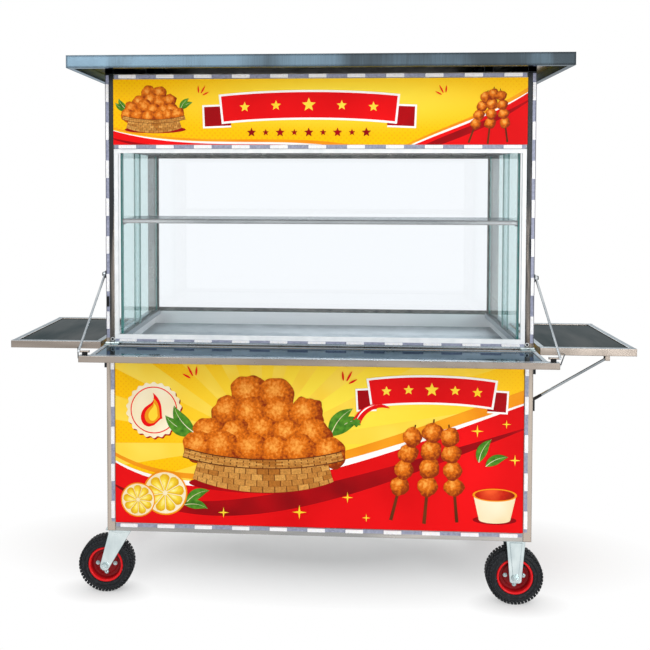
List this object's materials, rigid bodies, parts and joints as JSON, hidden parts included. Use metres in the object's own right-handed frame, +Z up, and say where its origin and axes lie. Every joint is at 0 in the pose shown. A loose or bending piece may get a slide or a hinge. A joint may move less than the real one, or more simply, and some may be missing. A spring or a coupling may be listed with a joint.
{
  "type": "street food cart",
  "caption": "Glazed street food cart: tube frame, overhanging roof, display cabinet over a cupboard, folding front flap and side shelves, swivel and rigid casters.",
  "frame": {"origin": "on the floor, in the middle of the whole cart's width and depth", "axes": "+X to the right seen from the customer side, +Y from the customer to the vendor side, +Z up"},
  "size_m": [2.222, 0.902, 1.916],
  "materials": {
    "frame_steel": "brushed stainless",
    "sheet_steel": "bright rolled stainless",
    "roof_steel": "bright rolled stainless",
    "table_frame": "satin stainless",
    "print_board": "printed film on board",
    "white_bead": "moulded",
    "track_alloy": "anodised",
    "clear_glass": "clear float glass",
    "light_tape": "flat tape",
    "light_module": "moulded",
    "black_metal": "black coated",
    "pad_rubber": "matt",
    "zinc_steel": "zinc plated",
    "red_rim": "gloss red",
    "black_tyre": "ribbed rubber"
  },
  "bodies": {
    "cart_frame": {"corner_posts": "frame_steel", "base_rails": "frame_steel", "counter_rails": "frame_steel", "lintel_rails": "frame_steel", "crown_rails": "frame_steel", "base_floor": "sheet_steel", "front_panel": "print_board", "side_panels": "print_board", "sign_panel": "print_board", "side_signs": "print_board", "sign_back": "sheet_steel", "ceiling_panel": "sheet_steel", "corner_gussets": "sheet_steel", "roof_cover": "roof_steel", "roof_soffit": "roof_steel", "roof_bearers": "frame_steel", "glazing_beads": "white_bead", "front_glass": "clear_glass", "rear_glass": "clear_glass", "sliding_tracks": "track_alloy", "fixed_side_panes": "clear_glass", "display_shelf": "sheet_steel", "shelf_brackets": "sheet_steel", "shelf_bolts": "black_metal", "deck_tray": "sheet_steel", "light_strips": "light_tape", "light_modules": "light_module", "flap_catch": "black_metal", "flap_hinges": "zinc_steel", "shelf_hinges": "zinc_steel", "side_brackets": "black_metal", "caster_plates": "zinc_steel", "rigid_forks": "zinc_steel"},
    "flap": {"flap_frame": "table_frame", "keeper_pads": "pad_rubber", "flap_sheet": "sheet_steel", "flap_hinge_leaves": "zinc_steel", "corner_links": "frame_steel"},
    "left_stay": {"left_stay": "frame_steel"},
    "right_stay": {"right_stay": "frame_steel"},
    "left_shelf": {"left_shelf_frame": "table_frame", "left_shelf_sheet": "sheet_steel"},
    "right_shelf": {"right_shelf_frame": "table_frame", "right_shelf_sheet": "sheet_steel"},
    "left_strut": {"left_strut": "frame_steel"},
    "right_struts": {"right_struts": "frame_steel"},
    "left_pane": {"left_sliding_pane": "clear_glass"},
    "right_pane": {"right_sliding_pane": "clear_glass"},
    "left_door": {"left_door": "sheet_steel"},
    "right_door": {"right_door": "sheet_steel"},
    "front_swivel": {"front_swivel_fork": "zinc_steel"},
    "rear_swivel": {"rear_swivel_fork": "zinc_steel"},
    "front_left_wheel": {"front_left_rim": "red_rim", "front_left_tyre": "black_tyre"},
    "front_right_wheel": {"front_right_rim": "red_rim", "front_right_tyre": "black_tyre"},
    "rear_left_wheel": {"rear_left_rim": "red_rim", "rear_left_tyre": "black_tyre"},
    "rear_right_wheel": {"rear_right_rim": "red_rim", "rear_right_tyre": "black_tyre"}
  },
  "joints": [
    {"name": "flap_fold", "type": "hinge", "parent": "cart_frame", "child": "flap", "pos_m": [0, -0.2733, 0.923], "axis": [-1, 0, 0], "range_deg": [0, 90]},
    {"name": "left_stay_swing", "type": "hinge", "parent": "cart_frame", "child": "left_stay", "pos_m": [-0.758, -0.254, 1.166], "axis": [1, 0, 0], "range_deg": [0, 37.02]},
    {"name": "right_stay_swing", "type": "hinge", "parent": "cart_frame", "child": "right_stay", "pos_m": [0.758, -0.254, 1.166], "axis": [1, 0, 0], "range_deg": [0, 37.02]},
    {"name": "left_shelf_fold", "type": "hinge", "parent": "cart_frame", "child": "left_shelf", "pos_m": [-0.768, -0.0175, 0.889], "axis": [0, -1, 0], "range_deg": [0, 90]},
    {"name": "right_shelf_fold", "type": "hinge", "parent": "cart_frame", "child": "right_shelf", "pos_m": [0.768, -0.0175, 0.889], "axis": [0, 1, 0], "range_deg": [0, 90]},
    {"name": "left_strut_swing", "type": "hinge", "parent": "left_shelf", "child": "left_strut", "pos_m": [-1.012, 0.195, 0.884], "axis": [0, 1, 0], "range_deg": [0, 149.17]},
    {"name": "right_struts_swing", "type": "hinge", "parent": "right_shelf", "child": "right_struts", "pos_m": [1.012, -0.0175, 0.884], "axis": [0, -1, 0], "range_deg": [0, 149.17]},
    {"name": "left_pane_slide", "type": "slide", "parent": "cart_frame", "child": "left_pane", "axis": [0, -1, 0], "range_m": [0, 0.198]},
    {"name": "right_pane_slide", "type": "slide", "parent": "cart_frame", "child": "right_pane", "axis": [0, -1, 0], "range_m": [0, 0.198]},
    {"name": "left_door_slide", "type": "slide", "parent": "cart_frame", "child": "left_door", "axis": [1, 0, 0], "range_m": [0, 0.7]},
    {"name": "right_door_slide", "type": "slide", "parent": "cart_frame", "child": "right_door", "axis": [-1, 0, 0], "range_m": [0, 0.7]},
    {"name": "front_swivel_turn", "type": "hinge", "parent": "cart_frame", "child": "front_swivel", "pos_m": [-0.712, -0.214, 0.234], "axis": [0, 0, 1], "continuous": true},
    {"name": "rear_swivel_turn", "type": "hinge", "parent": "cart_frame", "child": "rear_swivel", "pos_m": [-0.712, 0.256, 0.234], "axis": [0, 0, 1], "continuous": true},
    {"name": "front_left_roll", "type": "hinge", "parent": "front_swivel", "child": "front_left_wheel", "pos_m": [-0.769, -0.214, 0.1], "axis": [0, 1, 0], "continuous": true},
    {"name": "front_right_roll", "type": "hinge", "parent": "cart_frame", "child": "front_right_wheel", "pos_m": [0.703, -0.214, 0.1], "axis": [0, 1, 0], "continuous": true},
    {"name": "rear_left_roll", "type": "hinge", "parent": "rear_swivel", "child": "rear_left_wheel", "pos_m": [-0.769, 0.256, 0.1], "axis": [0, 1, 0], "continuous": true},
    {"name": "rear_right_roll", "type": "hinge", "parent": "cart_frame", "child": "rear_right_wheel", "pos_m": [0.703, 0.256, 0.1], "axis": [0, 1, 0], "continuous": true}
  ],
  "couplings": [
    {"joint": "left_stay_swing", "follows": "flap_fold", "ratio": 0.41139},
    {"joint": "right_stay_swing", "follows": "flap_fold", "ratio": 0.41139},
    {"joint": "left_strut_swing", "follows": "left_shelf_fold", "ratio": 1.6574},
    {"joint": "right_struts_swing", "follows": "right_shelf_fold", "ratio": 1.6574}
  ]
}
